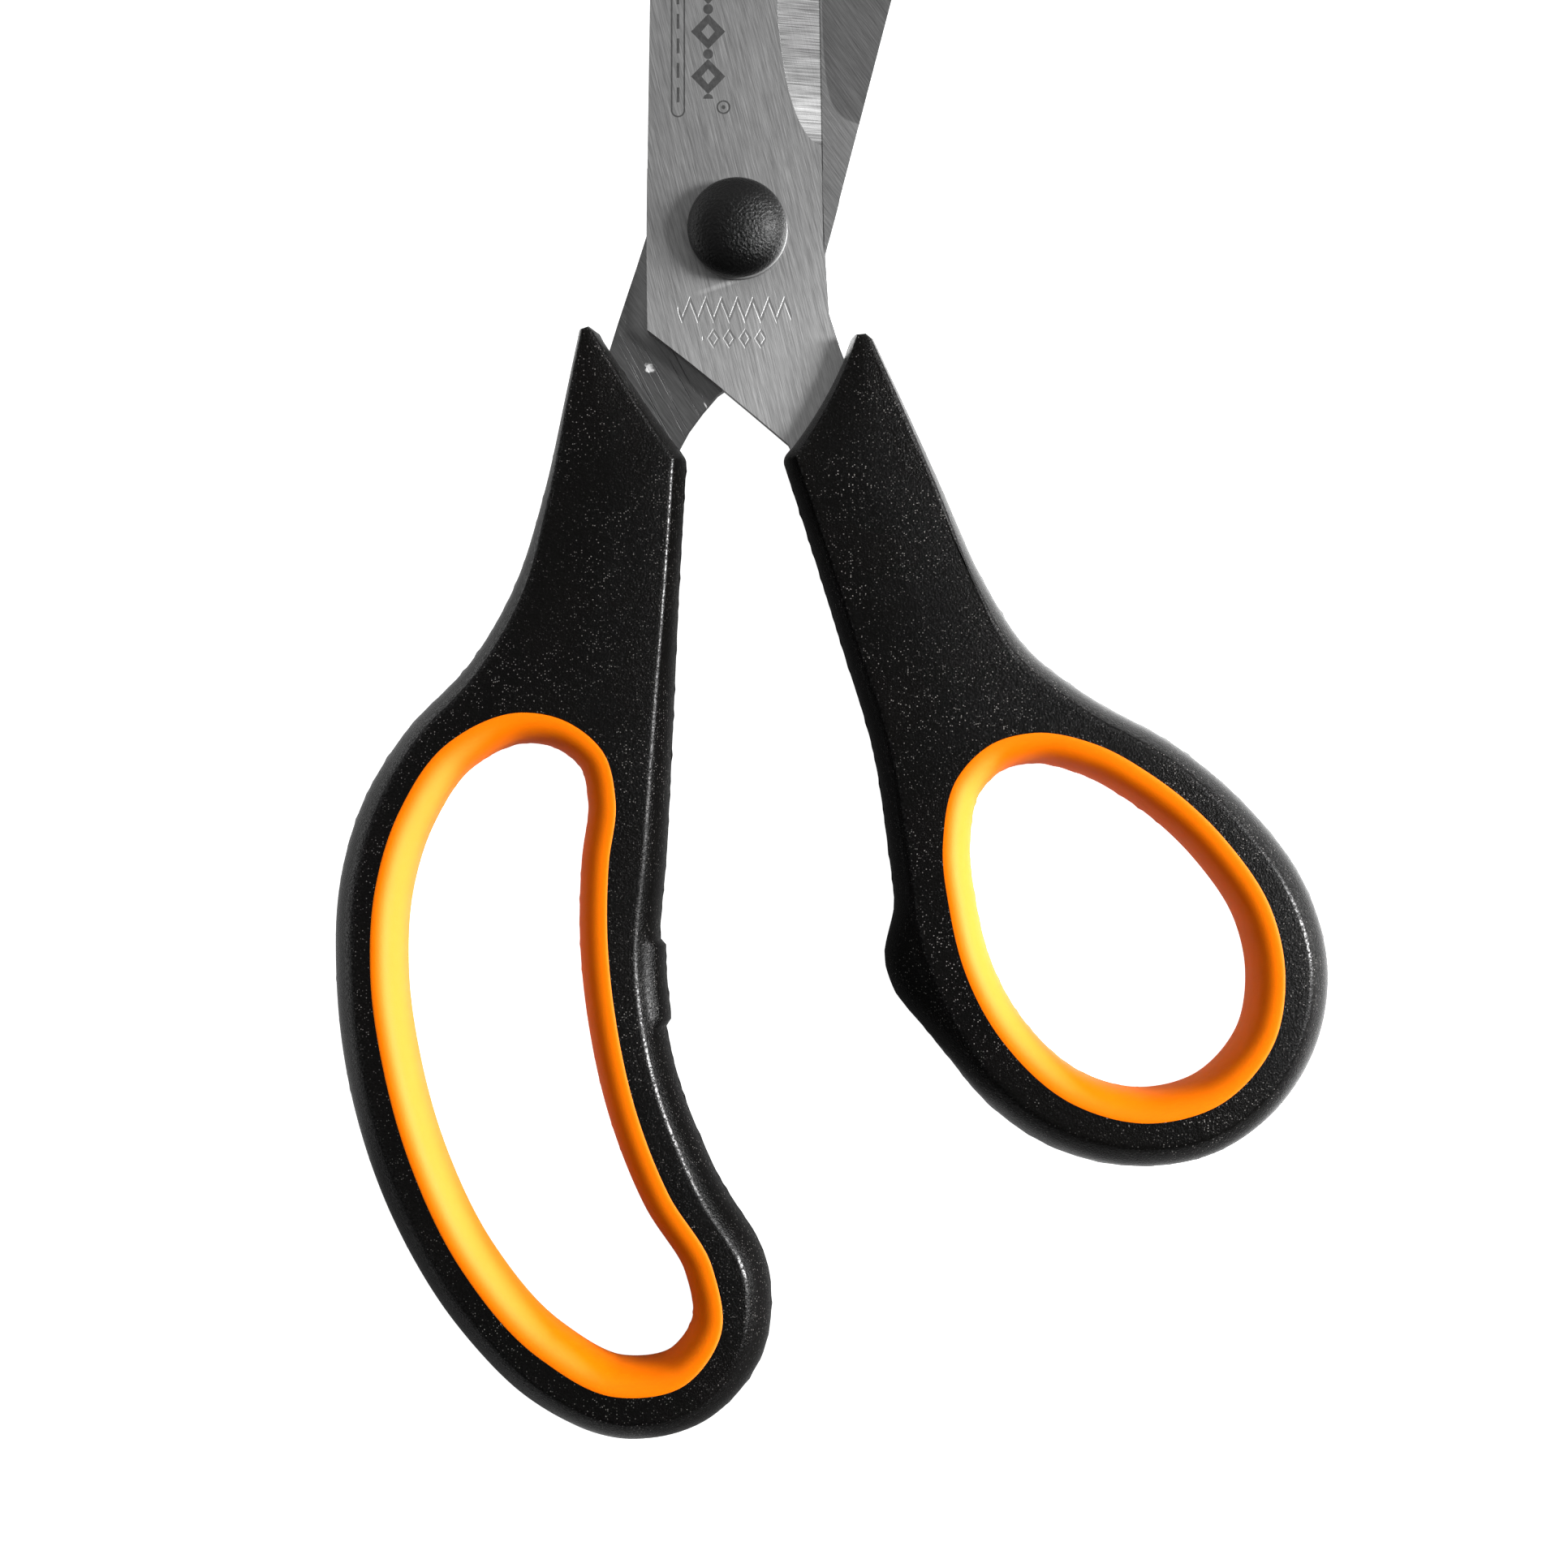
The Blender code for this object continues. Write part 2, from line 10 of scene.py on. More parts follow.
import bmesh
import bpy
import numpy as np
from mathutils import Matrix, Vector


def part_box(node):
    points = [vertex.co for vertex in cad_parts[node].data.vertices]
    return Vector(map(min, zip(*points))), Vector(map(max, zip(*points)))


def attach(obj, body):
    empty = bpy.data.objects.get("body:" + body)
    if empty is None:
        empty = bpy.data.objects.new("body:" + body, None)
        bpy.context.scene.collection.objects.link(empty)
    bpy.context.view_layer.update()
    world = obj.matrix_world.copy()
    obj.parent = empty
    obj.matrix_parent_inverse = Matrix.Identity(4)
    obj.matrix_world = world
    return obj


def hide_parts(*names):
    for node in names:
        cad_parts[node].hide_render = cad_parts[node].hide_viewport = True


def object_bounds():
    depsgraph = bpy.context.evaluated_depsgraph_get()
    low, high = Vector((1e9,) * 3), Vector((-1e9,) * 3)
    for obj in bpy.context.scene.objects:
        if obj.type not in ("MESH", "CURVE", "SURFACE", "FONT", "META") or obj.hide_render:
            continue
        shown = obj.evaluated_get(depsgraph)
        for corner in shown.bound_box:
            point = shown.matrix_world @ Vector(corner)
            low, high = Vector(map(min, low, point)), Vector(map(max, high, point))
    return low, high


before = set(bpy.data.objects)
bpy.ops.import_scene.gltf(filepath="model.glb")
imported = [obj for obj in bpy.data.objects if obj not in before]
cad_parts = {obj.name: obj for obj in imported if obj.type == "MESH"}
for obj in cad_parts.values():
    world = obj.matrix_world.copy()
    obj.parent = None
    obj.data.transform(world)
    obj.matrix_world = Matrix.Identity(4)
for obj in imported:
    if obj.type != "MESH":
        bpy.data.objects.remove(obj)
cad_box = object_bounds()

MM = 0.001
REST_OPENING = math.radians(16.5)  # the hinge closes by this angle


def box_mm(node):
    """A node's lowest and highest corners in millimetres."""
    low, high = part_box(node)
    return np.array(low) / MM, np.array(high) / MM


handle_low, handle_high = box_mm("thumb_handle")
front_low, front_high = box_mm("front_blade")
rear_low, rear_high = box_mm("rear_blade")
cap_low, cap_high = box_mm("pivot_cap")
washer_low, washer_high = box_mm("pivot_washer")

MIDDLE = (handle_low[2] + handle_high[2]) / 2
HALF_THICK = (handle_high[2] - handle_low[2]) / 2

# Bow centres, from the pivot
FINGER_BOW = np.array([4.0, -83.0])
THUMB_BOW = np.array([37.0, -69.0])

# Outlines as in the part: (across, along, how far the flat face sits in from the edge there)
THUMB_TIP = [(11.5, -10.1, 0.5), (13.4, -10.7, 0.5)]
THUMB_OUTER = [(15.9, -16.0, 0.6), (20.0, -25.0, 0.8), (24.4, -34.6, 1.3)]
THUMB_BOW_OUTLINE = [(-8.4, 28.0, 1.7), (-2.8, 23.6, 1.8), (6.3, 18.4, 1.9), (13.7, 12.0, 2.2)]
THUMB_BOW_OUTLINE += [(18.7, 5.2, 2.4), (21.1, -3.2, 2.4), (20.0, -10.8, 2.4)]
THUMB_BOW_OUTLINE += [(16.3, -17.0, 2.4), (10.0, -21.6, 2.4), (2.3, -22.9, 2.4)]
THUMB_BOW_OUTLINE += [(-6.4, -20.8, 2.4), (-13.4, -15.6, 2.3), (-18.0, -8.6, 2.2)]
THUMB_BOW_OUTLINE += [(-20.8, -1.2, 2.0), (-21.8, 6.0, 1.9), (-23.7, 18.4, 1.7)]
THUMB_INNER = [(10.4, -41.0, 1.5), (6.4, -28.2, 1.3), (4.5, -22.4, 1.2)]
THUMB_SEAT = [(-8.1, 19.7), (-2.3, 18.5), (3.2, 15.5), (10.5, 9.0), (14.7, 2.6), (16.1, -3.7)]
THUMB_SEAT += [(15.0, -10.4), (9.8, -16.3), (2.9, -18.1), (-4.3, -16.3), (-11.2, -10.2)]
THUMB_SEAT += [(-14.8, -3.6), (-16.4, 2.8), (-17.0, 9.0), (-15.6, 15.4), (-12.4, 18.6)]

FINGER_TIP = [(-10.4, -13.4, 0.5), (-12.1, -13.6, 0.5)]
FINGER_OUTER = [(-11.6, -20.0, 0.6), (-10.9, -31.0, 1.0), (-11.2, -40.0, 1.6)]
FINGER_BOW_OUTLINE = [(-17.4, 34.4, 1.7), (-21.2, 27.0, 1.9), (-23.4, 19.0, 2.2), (-23.4, 11.0, 2.3)]
FINGER_BOW_OUTLINE += [(-21.0, 1.4, 2.4), (-16.2, -9.4, 2.4), (-7.8, -20.9, 2.4), (0.8, -28.4, 2.4)]
FINGER_BOW_OUTLINE += [(10.2, -33.2, 2.4), (18.8, -34.0, 2.4), (26.2, -30.0, 2.4), (29.7, -22.0, 2.4)]
FINGER_BOW_OUTLINE += [(27.8, -13.8, 2.3), (20.2, -6.2, 2.3), (13.6, 2.2, 2.2), (9.2, 11.4, 2.2)]
FINGER_BOW_OUTLINE += [(6.5, 23.0, 2.0)]
FINGER_INNER = [(7.4, -47.3, 1.7), (4.3, -34.8, 1.2), (1.5, -22.9, 1.1)]
FINGER_SEAT = [(-10.6, 31.7), (-16.6, 26.6), (-19.1, 19.0), (-19.2, 11.4), (-17.3, 3.3)]
FINGER_SEAT += [(-13.4, -5.4), (-8.1, -13.7), (-0.6, -21.8), (9.0, -27.8), (17.0, -29.3)]
FINGER_SEAT += [(23.0, -26.4), (25.0, -20.6), (22.4, -14.7), (16.4, -9.2), (11.2, -2.6)]
FINGER_SEAT += [(6.8, 5.2), (3.6, 13.0), (1.7, 20.0), (0.6, 26.0), (-1.8, 30.2), (-6.6, 32.2)]


# ---------------------------------------------------------------- curves and surfaces

MERGE_WITHIN = 0.002


def curve_through(points, closed=False, spacing=2.6):
    """Points on a smooth curve through the given ones: cubic stretches whose slopes come from the
    neighbours on both sides. An open curve leaves out its last point."""
    knots = np.array(points, float)
    count = len(knots)
    if closed:
        knots = np.concatenate([knots[-2:], knots, knots[:3]])
    chords = np.linalg.norm(np.diff(knots[:, :2], axis=0), axis=1)
    at = np.concatenate([[0.0], np.cumsum(chords)])
    slopes = np.gradient(knots, at, axis=0)
    first = 2 if closed else 0
    last = first + count if closed else count - 1
    made = []
    for i in range(first, last):
        t = np.arange(max(1, round(chords[i] / spacing)))[:, None]
        t = t / len(t)
        made.append(
            (2 * t**3 - 3 * t**2 + 1) * knots[i]
            + (t**3 - 2 * t**2 + t) * chords[i] * slopes[i]
            + (3 * t**2 - 2 * t**3) * knots[i + 1]
            + (t**3 - t**2) * chords[i] * slopes[i + 1]
        )
    return np.concatenate(made)


def moved(points, by):
    """Points given from a bow centre, as points from the pivot. Any third value is kept."""
    return [(x + by[0], y + by[1], *rest) for x, y, *rest in points]


def outward(loop):
    """Unit normals of a closed loop, pointing out of it, from the chord between the neighbours."""
    chord = np.roll(loop, -1, axis=0)[:, :2] - np.roll(loop, 1, axis=0)[:, :2]
    chord = chord / np.linalg.norm(chord, axis=1)[:, None]
    normal = np.stack([chord[:, 1], -chord[:, 0]], axis=1)
    return normal * turning(loop)


def turning(loop):
    """1 for a loop that runs anticlockwise, -1 for one that runs clockwise."""
    x, y = loop[:, 0], loop[:, 1]
    return 1.0 if (x * np.roll(y, -1) - y * np.roll(x, -1)).sum() > 0 else -1.0


def mitred(loop):
    """For each point of a loop, the step that moves both its edges inwards by one."""
    ahead = np.roll(loop, -1, axis=0)[:, :2] - loop[:, :2]
    ahead = ahead / np.linalg.norm(ahead, axis=1)[:, None]
    normal = np.stack([-ahead[:, 1], ahead[:, 0]], axis=1) * turning(loop)
    before = np.roll(normal, 1, axis=0)
    return (normal + before) / (1 + (normal * before).sum(axis=1))[:, None]


def turned_by(points, angle):
    """Points (..., 3) turned about the Z axis."""
    c, s = math.cos(angle), math.sin(angle)
    x, y, z = points[..., 0], points[..., 1], points[..., 2]
    return np.stack([c * x - s * y, s * x + c * y, z], axis=-1)


def grid_faces(rows, columns, wrap_rows=False):
    """Quads of a grid whose columns run round and join up."""
    r = np.arange(rows if wrap_rows else rows - 1)[:, None]
    c = np.arange(columns)[None, :]
    ahead = (c + 1) % columns
    up = (r + 1) % rows
    quads = np.stack(
        [r * columns + c, r * columns + ahead, up * columns + ahead, up * columns + c], axis=-1
    )
    return quads.reshape(-1, 4)


def piece(name, points, quads, material, body, sharp):
    """A finished piece in metres: doubles merged, faces turned outwards, and shading smooth except
    across edges that bend by more than the sharp angle, in degrees."""
    mesh = bpy.data.meshes.new(name)
    flat = np.asarray(points, float).reshape(-1, 3) * MM
    mesh.from_pydata(flat.tolist(), [], quads.tolist())
    shape = bmesh.new()
    shape.from_mesh(mesh)
    bmesh.ops.remove_doubles(shape, verts=shape.verts, dist=MERGE_WITHIN * MM)
    bmesh.ops.recalc_face_normals(shape, faces=shape.faces)
    shape.to_mesh(mesh)
    shape.free()
    mesh.polygons.foreach_set("use_smooth", [True] * len(mesh.polygons))
    mesh.set_sharp_from_angle(angle=math.radians(sharp))
    return settle(name, mesh, material, body)


def settle(name, mesh, material, body):
    """The mesh as an object at the origin, in one material, on its body."""
    made = bpy.data.objects.new(name, mesh)
    bpy.context.scene.collection.objects.link(made)
    mesh.materials.clear()
    mesh.materials.append(material)
    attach(made, body)
    return made


# ---------------------------------------------------------------- shader shorthand


class Value:
    """A shader socket that takes part in sums as a number does."""

    def __init__(self, shader, socket):
        self.shader = shader
        self.socket = socket

    def math(self, operation, *others):
        """A Math node on this value and the others, in that order."""
        return self.shader.math(operation, self, *others)

    def __add__(self, other):
        return self.math("ADD", other)

    __radd__ = __add__

    def __sub__(self, other):
        return self.math("SUBTRACT", other)

    def __rsub__(self, other):
        return self.shader.math("SUBTRACT", other, self)

    def __mul__(self, other):
        return self.math("MULTIPLY", other)

    __rmul__ = __mul__

    def __truediv__(self, other):
        return self.math("DIVIDE", other)

    def __rtruediv__(self, other):
        return self.shader.math("DIVIDE", other, self)

    def __pow__(self, other):
        return self.math("POWER", other)

    def __rpow__(self, other):
        return self.shader.math("POWER", other, self)

    def size(self):
        """The value without its sign."""
        return self.math("ABSOLUTE")

    def below(self, other):
        """The lower of the two."""
        return self.math("MINIMUM", other)

    def above(self, other):
        """The higher of the two."""
        return self.math("MAXIMUM", other)

    def step(self, start, end):
        """0 below start and 1 above end, with a smooth rise between; falls if end is the lower."""
        rising = end > start
        low, high = min(start, end), max(start, end)
        return self.shader.add(
            "ShaderNodeMapRange",
            {"interpolation_type": "SMOOTHSTEP"},
            {
                "Value": self,
                "From Min": low,
                "From Max": high,
                "To Min": 0.0 if rising else 1.0,
                "To Max": 1.0 if rising else 0.0,
            },
        )


class Shader:
    """A Principled material, or a world, and the nodes that feed it."""

    def __init__(self, name, constants=None, kind="materials", end="Principled BSDF"):
        self.material = getattr(bpy.data, kind).new(name)
        self.material.use_nodes = True
        self.tree = self.material.node_tree
        self.surface = self.tree.nodes[end]
        for key, constant in (constants or {}).items():
            self.surface.inputs[key].default_value = constant

    def add(self, kind, settings=None, inputs=None, output=0):
        """A node of the kind, with its settings made first and then its inputs set or linked."""
        node = self.tree.nodes.new(kind)
        for key, setting in (settings or {}).items():
            setattr(node, key, setting)
        for key, given in (inputs or {}).items():
            if isinstance(given, Value):
                self.tree.links.new(given.socket, node.inputs[key])
            else:
                node.inputs[key].default_value = given
        return Value(self, node.outputs[output])

    def math(self, operation, *values):
        """A Math node on values and plain numbers."""
        return self.add("ShaderNodeMath", {"operation": operation}, dict(enumerate(values)))

    def feed(self, **links):
        """Values into the surface's own sockets, with an underscore for each space in a name."""
        for key, given in links.items():
            self.tree.links.new(given.socket, self.surface.inputs[key.replace("_", " ")])
        return self

    def place(self, stretch=(1, 1, 1), turn=0.0):
        """Object coordinates in millimetres, turned about Z and then stretched."""
        where = self.add("ShaderNodeTexCoord", output="Object")
        scale = tuple(1 / (MM * s) for s in stretch)
        turned = self.add(
            "ShaderNodeMapping",
            {"vector_type": "POINT"},
            {"Vector": where, "Rotation": (0.0, 0.0, turn)},
        )
        return self.add("ShaderNodeVectorMath", {"operation": "MULTIPLY"}, {0: turned, 1: scale})

    def axes(self, vector):
        """The three parts of a vector or colour."""
        node = self.tree.nodes.new("ShaderNodeSeparateXYZ")
        self.tree.links.new(vector.socket, node.inputs[0])
        return [Value(self, output) for output in node.outputs]

    def noise(self, vector, scale=1.0, detail=2.0, roughness=0.5):
        """A cloud pattern from 0 to 1, its scale in clouds to the millimetre."""
        inputs = {"Vector": vector, "Scale": scale, "Detail": detail, "Roughness": roughness}
        return self.add("ShaderNodeTexNoise", inputs=inputs)

    def mix(self, share, first, second):
        """One colour over another, by a share from 0 to 1."""
        return self.add(
            "ShaderNodeMix",
            {"data_type": "RGBA"},
            {0: share, 6: first, 7: second},
            output=2,
        )

    def bump(self, height, distance, strength=1.0, onto=None):
        """A bent normal, from a height from 0 to 1 that stands for the distance in millimetres."""
        inputs = {"Height": height, "Distance": distance * MM, "Strength": strength}
        if onto:
            inputs["Normal"] = onto
        return self.add("ShaderNodeBump", inputs=inputs)


def grey(value, tint=(1.0, 1.0, 1.0)):
    """A grey, or a tinted one, as a colour socket wants it."""
    return tuple(value * t for t in tint) + (1.0,)


def distance(x, y):
    """How far a place is from where both values are 0: the root of the sum of their squares."""
    return (x * x + y * y) ** 0.5


# ---------------------------------------------------------------- finishes


def handle_shine(made, where):
    """Strong along a moulding's creases, faint on its faces, none low on its side walls."""
    off_middle = (made.axes(where)[2] - MIDDLE).size()
    crease = off_middle.step(HALF_THICK - 1.7, HALF_THICK - 0.7)
    face = off_middle.step(HALF_THICK - 0.34, HALF_THICK - 0.20)
    return crease * 2.5 - face * 1.7


def cap_shine(made, where):
    """A faint gloss over the whole cap."""
    return made.axes(where)[2].step(cap_low[2], cap_low[2] + 1.0) * 0.25


def grained_black(name, orange_bounce_tint, painted_glints, shine, specular=0.045, pits=(4.6, 8.0, 0.058), rough=0.22):
    """Black plastic from a spark-eroded mould: pits a quarter of a millimetre across that catch the
    light one by one, over a slow unevenness in the gloss, and painted glints: grey specks in the base
    colour where a cell's centre, its own chance and a crowded spot all agree. Its greys can carry an
    orange tint, a painted reflection of the orange liners. The pits are given as their cells to the
    millimetre, the scale of the fine grain on them and their depth."""
    fixed = {"Metallic": 0.0, "Specular IOR Level": specular}
    fixed.update({"Coat Roughness": 0.22, "Coat IOR": 1.5})
    made = Shader(name, fixed)
    pit_cells, grain_scale, pit_depth = pits
    where = made.place()
    holes = {"Vector": where, "Scale": pit_cells, "Randomness": 1.0}
    cells = made.add("ShaderNodeTexVoronoi", {"feature": "F1"}, holes)
    fine = made.noise(where, grain_scale, 3.0, 0.65)
    slow = made.noise(where, 0.12, 2.0)
    height = cells * 0.6 + fine * 0.8
    # Painted reflection: both greys can be tinted orange, as if lit by light bounced from the orange
    # liners.
    worn = grey(0.0012, (1.0, 1.0 - 0.1 * orange_bounce_tint, 1.0 - 0.2 * orange_bounce_tint))
    sparkle = grey(0.17, (1.0, 1.0 - 0.05 * orange_bounce_tint, 1.0 - 0.10 * orange_bounce_tint))
    grains = {"Vector": where, "Scale": 5.6, "Randomness": 1.0}
    centre = made.add("ShaderNodeTexVoronoi", {"feature": "F1"}, grains)
    chance = made.add("ShaderNodeTexVoronoi", {"feature": "F1"}, grains, output=1)
    crowd = made.noise(where, 0.16, 3.0)
    # Painted glints: rare grey specks in the base colour stand for highlights.
    painted_glint = centre.step(0.42, 0.22) * made.axes(chance)[0].step(0.76, 0.98)
    share = painted_glint * crowd.step(0.25, 0.72) * painted_glints
    glints = made.noise(where, 4.2, 2.0, 0.7).step(0.42, 0.66)
    made.feed(
        Base_Color=made.mix(share, made.mix(slow, grey(0.0006), worn), sparkle),
        Roughness=slow * 0.10 + rough,
        Normal=made.bump(height, pit_depth, 0.8),
        Coat_Weight=glints * 0.11 * shine(made, where),
    )
    return made.material


def soft_orange(name):
    """Translucent soft rubber: a saturated orange with faint cloudiness and a fine satin grain.
    Its base colour is painted yellower on slopes that face up and to the right: a painted lit side."""
    fixed = {"Metallic": 0.0, "Specular IOR Level": 0.03, "Subsurface Weight": 0.2}
    fixed.update({"Subsurface Radius": (1.0, 0.35, 0.1), "Subsurface Scale": 0.001})
    made = Shader(name, fixed)
    where = made.place()
    cloud = made.noise(where, 0.25, 3.0)
    grain = made.noise(where, 6.0, 2.0)
    deep = made.mix(cloud, (0.34, 0.066, 0.0001, 1.0), (0.38, 0.077, 0.0003, 1.0))
    # Painted light: slopes that face up and to the right get a yellower base colour, as if lit by the
    # key.
    right, _, up = made.axes(made.add("ShaderNodeTexCoord", output="Normal"))
    painted_lit_side = (right * 0.8 + up * 0.6).step(0.62, 0.97)
    made.feed(
        Base_Color=made.mix(painted_lit_side, deep, (0.46, 0.135, 0.018, 1.0)),
        Roughness=cloud * 0.10 + 0.45,
        Normal=made.bump(grain, 0.02, 0.5),
    )
    return made.material


def steel(name, brush_turn, rough, marks):
    """Ground steel: short fine scratches along one direction over fainter long ones, in tone, gloss
    and relief, with slow clouds. The marks give the tone from place to place."""
    made = Shader(name, {"Metallic": 1.0})
    short = made.noise(made.place((0.13, 2.2, 2.2), brush_turn), 1.0, 2.0, 0.7)
    long = made.noise(made.place((0.11, 7.0, 7.0), brush_turn + 0.05), 1.0, 3.0, 0.6)
    cloud = made.noise(made.place(), 0.09, 3.0)
    level = (short - 0.5) * 0.95 + (long - 0.5) * 0.40 + (cloud - 0.5) * 0.22 + 1.0
    tone, roughness, dent = marks(made, level, rough + (long - 0.5) * 0.15)
    made.feed(
        Base_Color=made.mix(tone, grey(0.0), grey(1.0)),
        Roughness=roughness,
        Normal=made.bump(short * 0.6 + long, 0.010, 0.6, onto=made.bump(dent, 0.016)),
    )
    return made.material


def plain_metal(name, tone, rough):
    """Turned steel: rings round the pivot, bright between them."""
    made = Shader(name, {"Metallic": 1.0})
    x, y, _ = made.axes(made.place())
    rings = made.noise(made.place(), 3.0, 2.0)
    lines = (distance(x, y) * 22.0 + rings * 2.0).math("SINE")
    made.feed(
        Base_Color=made.mix(lines * 0.5 + 0.5, grey(tone * 0.92), grey(tone)),
        Roughness=rough + rings * 0.1,
        Normal=made.bump(lines, 0.004, 0.5),
    )
    return made.material


# The two handles share one plastic; the thumb's copy is given more painted glints than the finger's.
THUMB_BLACK = grained_black("sparkle_black_thumb", 1.0, 0.55, handle_shine)
FINGER_BLACK = grained_black("sparkle_black_finger", 1.0, 0.35, handle_shine)
CAP_BLACK = grained_black(
    "sparkle_black_cap", 0.0, 0.0, cap_shine, specular=0.11, pits=(3.2, 5.5, 0.12), rough=0.26
)
ORANGE = soft_orange("soft_orange")


# ---------------------------------------------------------------- handles

SIDE_TOP = math.radians(62)
SIDE_ROWS = 15
CREASE_ROUND = 0.32
CROWN_RISE = 0.3
CROWN_REACH = 3.5
LIP_DROP = 0.1  # the face's inner edge turns down over the liner
LIP_REACH = 0.08
SEAT_FLOOR = 0.6  # the seat's wall stops this far from mid thickness
CREASE_SPACING = 0.65
MOUTH_AT_LEAST = 4.0  # a straight run longer than this is the mouth, a shorter one the tip
TIP_SWELL = -0.3
LUG_PLACE = (-19.0, -1.5)
LUG_TOP = 4.4
PAD_PLACE = (8.2, 9.6)
PAD_HALF_LENGTH = 4.6
PAD_TOP = 4.3
PAD_RISE = 0.65


def crease_loop(tip, outer, bow, inner, mouth_bow):
    """The edge of the flat face, its insets, and where its corners are. The outline is moved in by
    its insets, then each run between two corners is drawn again as a smooth curve. The straight run
    across the mouth swells into the handle by mouth_bow, and the short one at the tip swells out."""
    runs = [
        curve_through(tip),
        curve_through([tip[1], *outer, *bow, *inner]),
        np.array([inner[-1]]),
    ]
    outline = np.concatenate(runs)
    edge = outline.copy()
    edge[:, :2] += mitred(outline) * outline[:, 2:3]
    corners = np.cumsum([0] + [len(run) for run in runs[:-1]])
    ends = [*corners, len(edge)]
    drawn = []
    starts = []
    for start, end in zip(ends, ends[1:]):
        knots = np.concatenate([edge[start:end], edge[end % len(edge)][None]])
        starts.append(sum(len(run) for run in drawn))
        if len(knots) == 2:
            chord = knots[1, :2] - knots[0, :2]
            length = np.linalg.norm(chord)
            count = max(2, int(length / 0.7))
            t = np.arange(count)[:, None] / count
            straight = knots[0] * (1 - t) + knots[1] * t
            side = np.array([-chord[1], chord[0]]) / length * turning(outline)
            swell = mouth_bow if length > MOUTH_AT_LEAST else TIP_SWELL
            straight[:, :2] += side * 4 * t * (1 - t) * swell
            drawn.append(straight)
        else:
            drawn.append(curve_through(knots, spacing=CREASE_SPACING))
    return np.concatenate(drawn), starts


def fanned(loop, corners, count=9):
    """A loop and its outward normals, with each corner repeated count times while its normal swings
    evenly from that of the edge before to that of the edge after."""
    ahead = np.roll(loop, -1, axis=0)[:, :2] - loop[:, :2]
    ahead = ahead / np.linalg.norm(ahead, axis=1)[:, None]
    after = np.stack([ahead[:, 1], -ahead[:, 0]], axis=1) * turning(loop)
    before = np.roll(after, 1, axis=0)
    first = np.arctan2(before[:, 1], before[:, 0])
    swing = np.arctan2(after[:, 1], after[:, 0]) - first
    swing = (swing + math.pi) % (2 * math.pi) - math.pi
    copies = np.ones(len(loop), int)
    copies[corners] = count
    which = np.repeat(np.arange(len(loop)), copies)
    step = np.arange(len(which)) - (np.cumsum(copies) - copies)[which]
    angle = first[which] + swing[which] * step / (count - 1)
    fan = np.stack([np.cos(angle), np.sin(angle)], axis=1)
    cornered = np.isin(which, corners)[:, None]
    return loop[which], np.where(cornered, fan, outward(loop)[which])


def seat_match(edge, seat):
    """For each point of the face's edge, a point of the seat: the nearest one, made to advance
    steadily so that no two lines from edge to seat cross, by a share of even spacing and a running
    mean over 41 points."""
    count = len(seat)
    gap = np.linalg.norm(edge[:, None, :2] - seat[None, :, :2], axis=2)
    nearest = gap.argmin(axis=1).astype(float)
    rolled = np.unwrap(nearest * 2 * math.pi / count) * count / (2 * math.pi)
    if rolled[-1] < rolled[0]:
        seat = seat[::-1]
        rolled = count - 1 - rolled
    rolled = np.maximum.accumulate(rolled)
    even = rolled[0] + np.arange(len(edge)) * count / len(edge)
    steady = 0.8 * rolled + 0.2 * even
    wide = np.concatenate([steady[-40:] - count, steady, steady[:40] + count])
    kernel = np.hanning(41)
    steady = np.convolve(wide, kernel / kernel.sum(), "same")[40:-40]
    low = np.floor(steady).astype(int)
    part = (steady - low)[:, None]
    return seat[low % count] * (1 - part) + seat[(low + 1) % count] * part


